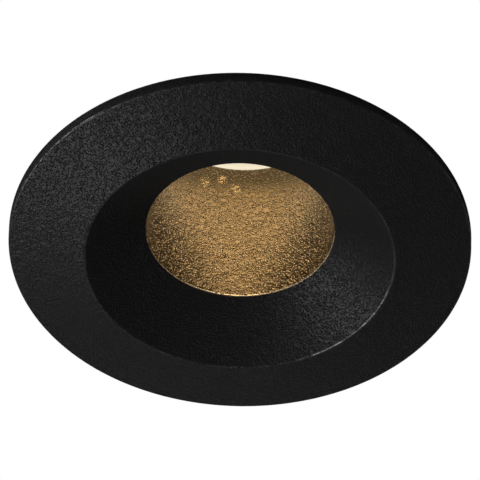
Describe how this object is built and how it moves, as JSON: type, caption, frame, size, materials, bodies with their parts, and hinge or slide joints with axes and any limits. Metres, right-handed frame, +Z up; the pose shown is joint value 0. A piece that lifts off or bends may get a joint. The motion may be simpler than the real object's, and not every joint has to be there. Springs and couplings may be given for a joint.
{
  "type": "recessed downlight",
  "caption": "Round recessed ceiling downlight: textured bezel with a ridge, deep anti-glare tube, finned housing and sprung clips that grip the ceiling board.",
  "frame": {"origin": "on the light's axis, in the plane of the ceiling's underside, where the rear collar enters it", "axes": "+Z up along the axis into the ceiling void, +X through the right spring clip, -Y towards the cable gland"},
  "size_m": [0.1278, 0.09, 0.0887],
  "materials": {
    "black_coat": "black sand-textured powder coat",
    "bronze_coat": "bronze-gold sand-textured coat",
    "housing_coat": "black satin powder coat",
    "cast_aluminium": "die-cast, blasted",
    "turned_aluminium": "black anodised, turned",
    "satin_glass": "satin-etched tempered glass",
    "clear_lens": "clear moulded lens",
    "foam": "closed-cell foam",
    "silicone": "translucent silicone",
    "black_rubber": "matt black rubber",
    "soft_sleeve": "soft dipped vinyl",
    "white_plastic": "white heat-proof plastic",
    "black_plastic": "black polyamide",
    "board": "white ceramic board",
    "phosphor": "yellow phosphor under silicone",
    "thermal_pad": "grey thermal pad",
    "zinc_steel": "bright zinc plate",
    "spring_steel": "spring steel"
  },
  "bodies": {
    "root": {"trim_ring": "black_coat", "aperture_tube": "bronze_coat", "ceiling_gasket": "foam", "glass_disc": "satin_glass", "glass_seal": "silicone", "glass_retaining_ring": "turned_aluminium", "housing": "housing_coat", "trim_screws": "zinc_steel", "tir_lens": "clear_lens", "lens_holder": "white_plastic", "led_substrate": "board", "led_emitter": "phosphor", "led_holder": "white_plastic", "led_holder_screws": "zinc_steel", "thermal_pad": "thermal_pad", "heat_sink": "cast_aluminium", "heat_sink_seal": "silicone", "heat_sink_screws": "zinc_steel", "gland_body": "black_plastic", "gland_seal": "black_rubber", "gland_nut": "black_plastic", "clip_bracket_right": "zinc_steel", "bracket_screws_right": "zinc_steel", "clip_pin_right": "zinc_steel", "torsion_spring_right": "spring_steel", "clip_bracket_left": "zinc_steel", "bracket_screws_left": "zinc_steel", "clip_pin_left": "zinc_steel", "torsion_spring_left": "spring_steel"},
    "clip_right": {"spring_clip_right": "spring_steel", "clip_sleeve_right": "soft_sleeve"},
    "clip_left": {"spring_clip_left": "spring_steel", "clip_sleeve_left": "soft_sleeve"}
  },
  "joints": [
    {"name": "clip_swing_right", "type": "hinge", "parent": "root", "child": "clip_right", "pos_m": [0.0322, 0, 0.0108], "axis": [0, -1, 0], "range_deg": [0, 104], "stiffness_Nm_per_rad": 0.12, "springref_deg": -57.3, "deforming": ["torsion_spring_right"]},
    {"name": "clip_swing_left", "type": "hinge", "parent": "root", "child": "clip_left", "pos_m": [-0.0322, 0, 0.0108], "axis": [0, 1, 0], "range_deg": [0, 104], "stiffness_Nm_per_rad": 0.12, "springref_deg": -57.3, "deforming": ["torsion_spring_left"]}
  ]
}
